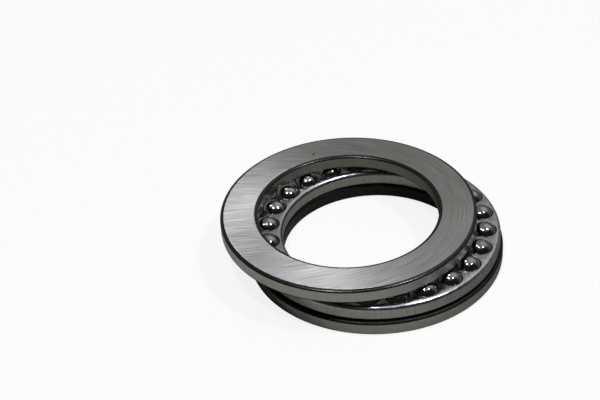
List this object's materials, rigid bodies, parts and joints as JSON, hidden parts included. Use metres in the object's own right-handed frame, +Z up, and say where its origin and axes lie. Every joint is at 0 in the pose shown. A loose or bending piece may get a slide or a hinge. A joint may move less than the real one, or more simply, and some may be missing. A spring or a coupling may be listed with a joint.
{
  "type": "thrust ball bearing",
  "caption": "Single-direction thrust ball bearing: a shaft washer, slid off-centre, lies on steel balls in a pressed cage over a grooved housing washer.",
  "frame": {"origin": "middle of the footprint, on the plane that the bearing lies on; the housing washer's axis is 4.375 mm from it towards +X, the shaft washer's 4.375 mm towards -X", "axes": "+Z up along the bearing's axis, from the housing washer to the shaft washer; the shaft washer is slid off-centre along -X"},
  "size_m": [0.0938, 0.085, 0.0179],
  "materials": {
    "ground_steel": "hardened bearing steel, surface-ground faces with fine straight grinding lines, broken corners tumbled dark",
    "pressed_steel": "pressed sheet steel, smooth rolled surface with bright rounded shoulders",
    "ball_steel": "lapped and polished bearing steel, mirror bright"
  },
  "bodies": {
    "housing_washer": {"housing_washer": "ground_steel"},
    "ball_cage": {"ball_cage": "pressed_steel"},
    "shaft_washer": {"shaft_washer": "ground_steel"},
    "ball_01": {"ball_01": "ball_steel"},
    "ball_02": {"ball_02": "ball_steel"},
    "ball_03": {"ball_03": "ball_steel"},
    "ball_04": {"ball_04": "ball_steel"},
    "ball_05": {"ball_05": "ball_steel"},
    "ball_06": {"ball_06": "ball_steel"},
    "ball_07": {"ball_07": "ball_steel"},
    "ball_08": {"ball_08": "ball_steel"},
    "ball_09": {"ball_09": "ball_steel"},
    "ball_10": {"ball_10": "ball_steel"},
    "ball_11": {"ball_11": "ball_steel"},
    "ball_12": {"ball_12": "ball_steel"},
    "ball_13": {"ball_13": "ball_steel"},
    "ball_14": {"ball_14": "ball_steel"},
    "ball_15": {"ball_15": "ball_steel"},
    "ball_16": {"ball_16": "ball_steel"},
    "ball_17": {"ball_17": "ball_steel"},
    "ball_18": {"ball_18": "ball_steel"},
    "ball_19": {"ball_19": "ball_steel"},
    "ball_20": {"ball_20": "ball_steel"},
    "ball_21": {"ball_21": "ball_steel"},
    "ball_22": {"ball_22": "ball_steel"},
    "ball_23": {"ball_23": "ball_steel"},
    "ball_24": {"ball_24": "ball_steel"}
  },
  "joints": [
    {"name": "shaft_washer_spin", "type": "hinge", "parent": "housing_washer", "child": "shaft_washer", "pos_m": [0.00438, 0, 0.01285], "axis": [0, 0, 1], "continuous": true},
    {"name": "cage_spin", "type": "hinge", "parent": "housing_washer", "child": "ball_cage", "pos_m": [0.00438, 0, 0.0085], "axis": [0, 0, 1], "continuous": true},
    {"name": "ball_01_roll", "type": "hinge", "parent": "ball_cage", "child": "ball_01", "pos_m": [0.04052, -0.00063, 0.0085], "axis": [0.9998, -0.0175, 0], "continuous": true},
    {"name": "ball_02_roll", "type": "hinge", "parent": "ball_cage", "child": "ball_02", "pos_m": [0.03945, 0.00875, 0.0085], "axis": [0.9703, 0.2419, 0], "continuous": true},
    {"name": "ball_03_roll", "type": "hinge", "parent": "ball_cage", "child": "ball_03", "pos_m": [0.03599, 0.01753, 0.0085], "axis": [0.8746, 0.4848, 0], "continuous": true},
    {"name": "ball_04_roll", "type": "hinge", "parent": "ball_cage", "child": "ball_04", "pos_m": [0.03038, 0.02511, 0.0085], "axis": [0.7193, 0.6947, 0], "continuous": true},
    {"name": "ball_05_roll", "type": "hinge", "parent": "ball_cage", "child": "ball_05", "pos_m": [0.02299, 0.03099, 0.0085], "axis": [0.515, 0.8572, 0], "continuous": true},
    {"name": "ball_06_roll", "type": "hinge", "parent": "ball_cage", "child": "ball_06", "pos_m": [0.01434, 0.03475, 0.0085], "axis": [0.2756, 0.9613, 0], "continuous": true},
    {"name": "ball_07_roll", "type": "hinge", "parent": "ball_cage", "child": "ball_07", "pos_m": [0.00501, 0.03614, 0.0085], "axis": [0.0175, 0.9998, 0], "continuous": true},
    {"name": "ball_08_roll", "type": "hinge", "parent": "ball_cage", "child": "ball_08", "pos_m": [-0.00437, 0.03508, 0.0085], "axis": [-0.2419, 0.9703, 0], "continuous": true},
    {"name": "ball_09_roll", "type": "hinge", "parent": "ball_cage", "child": "ball_09", "pos_m": [-0.01315, 0.03162, 0.0085], "axis": [-0.4848, 0.8746, 0], "continuous": true},
    {"name": "ball_10_roll", "type": "hinge", "parent": "ball_cage", "child": "ball_10", "pos_m": [-0.02074, 0.026, 0.0085], "axis": [-0.6947, 0.7193, 0], "continuous": true},
    {"name": "ball_11_roll", "type": "hinge", "parent": "ball_cage", "child": "ball_11", "pos_m": [-0.02661, 0.01862, 0.0085], "axis": [-0.8572, 0.515, 0], "continuous": true},
    {"name": "ball_12_roll", "type": "hinge", "parent": "ball_cage", "child": "ball_12", "pos_m": [-0.03037, 0.00996, 0.0085], "axis": [-0.9613, 0.2756, 0], "continuous": true},
    {"name": "ball_13_roll", "type": "hinge", "parent": "ball_cage", "child": "ball_13", "pos_m": [-0.03177, 0.00063, 0.0085], "axis": [-0.9998, 0.0175, 0], "continuous": true},
    {"name": "ball_14_roll", "type": "hinge", "parent": "ball_cage", "child": "ball_14", "pos_m": [-0.0307, -0.00875, 0.0085], "axis": [-0.9703, -0.2419, 0], "continuous": true},
    {"name": "ball_15_roll", "type": "hinge", "parent": "ball_cage", "child": "ball_15", "pos_m": [-0.02724, -0.01753, 0.0085], "axis": [-0.8746, -0.4848, 0], "continuous": true},
    {"name": "ball_16_roll", "type": "hinge", "parent": "ball_cage", "child": "ball_16", "pos_m": [-0.02163, -0.02511, 0.0085], "axis": [-0.7193, -0.6947, 0], "continuous": true},
    {"name": "ball_17_roll", "type": "hinge", "parent": "ball_cage", "child": "ball_17", "pos_m": [-0.01424, -0.03099, 0.0085], "axis": [-0.515, -0.8572, 0], "continuous": true},
    {"name": "ball_18_roll", "type": "hinge", "parent": "ball_cage", "child": "ball_18", "pos_m": [-0.00559, -0.03475, 0.0085], "axis": [-0.2756, -0.9613, 0], "continuous": true},
    {"name": "ball_19_roll", "type": "hinge", "parent": "ball_cage", "child": "ball_19", "pos_m": [0.00374, -0.03614, 0.0085], "axis": [-0.0175, -0.9998, 0], "continuous": true},
    {"name": "ball_20_roll", "type": "hinge", "parent": "ball_cage", "child": "ball_20", "pos_m": [0.01312, -0.03508, 0.0085], "axis": [0.2419, -0.9703, 0], "continuous": true},
    {"name": "ball_21_roll", "type": "hinge", "parent": "ball_cage", "child": "ball_21", "pos_m": [0.0219, -0.03162, 0.0085], "axis": [0.4848, -0.8746, 0], "continuous": true},
    {"name": "ball_22_roll", "type": "hinge", "parent": "ball_cage", "child": "ball_22", "pos_m": [0.02949, -0.026, 0.0085], "axis": [0.6947, -0.7193, 0], "continuous": true},
    {"name": "ball_23_roll", "type": "hinge", "parent": "ball_cage", "child": "ball_23", "pos_m": [0.03536, -0.01862, 0.0085], "axis": [0.8572, -0.515, 0], "continuous": true},
    {"name": "ball_24_roll", "type": "hinge", "parent": "ball_cage", "child": "ball_24", "pos_m": [0.03912, -0.00996, 0.0085], "axis": [0.9613, -0.2756, 0], "continuous": true}
  ],
  "couplings": [
    {"joint": "cage_spin", "follows": "shaft_washer_spin", "ratio": 0.5},
    {"joint": "ball_01_roll", "follows": "shaft_washer_spin", "ratio": -4.2529},
    {"joint": "ball_02_roll", "follows": "shaft_washer_spin", "ratio": -4.2529},
    {"joint": "ball_03_roll", "follows": "shaft_washer_spin", "ratio": -4.2529},
    {"joint": "ball_04_roll", "follows": "shaft_washer_spin", "ratio": -4.2529},
    {"joint": "ball_05_roll", "follows": "shaft_washer_spin", "ratio": -4.2529},
    {"joint": "ball_06_roll", "follows": "shaft_washer_spin", "ratio": -4.2529},
    {"joint": "ball_07_roll", "follows": "shaft_washer_spin", "ratio": -4.2529},
    {"joint": "ball_08_roll", "follows": "shaft_washer_spin", "ratio": -4.2529},
    {"joint": "ball_09_roll", "follows": "shaft_washer_spin", "ratio": -4.2529},
    {"joint": "ball_10_roll", "follows": "shaft_washer_spin", "ratio": -4.2529},
    {"joint": "ball_11_roll", "follows": "shaft_washer_spin", "ratio": -4.2529},
    {"joint": "ball_12_roll", "follows": "shaft_washer_spin", "ratio": -4.2529},
    {"joint": "ball_13_roll", "follows": "shaft_washer_spin", "ratio": -4.2529},
    {"joint": "ball_14_roll", "follows": "shaft_washer_spin", "ratio": -4.2529},
    {"joint": "ball_15_roll", "follows": "shaft_washer_spin", "ratio": -4.2529},
    {"joint": "ball_16_roll", "follows": "shaft_washer_spin", "ratio": -4.2529},
    {"joint": "ball_17_roll", "follows": "shaft_washer_spin", "ratio": -4.2529},
    {"joint": "ball_18_roll", "follows": "shaft_washer_spin", "ratio": -4.2529},
    {"joint": "ball_19_roll", "follows": "shaft_washer_spin", "ratio": -4.2529},
    {"joint": "ball_20_roll", "follows": "shaft_washer_spin", "ratio": -4.2529},
    {"joint": "ball_21_roll", "follows": "shaft_washer_spin", "ratio": -4.2529},
    {"joint": "ball_22_roll", "follows": "shaft_washer_spin", "ratio": -4.2529},
    {"joint": "ball_23_roll", "follows": "shaft_washer_spin", "ratio": -4.2529},
    {"joint": "ball_24_roll", "follows": "shaft_washer_spin", "ratio": -4.2529}
  ]
}
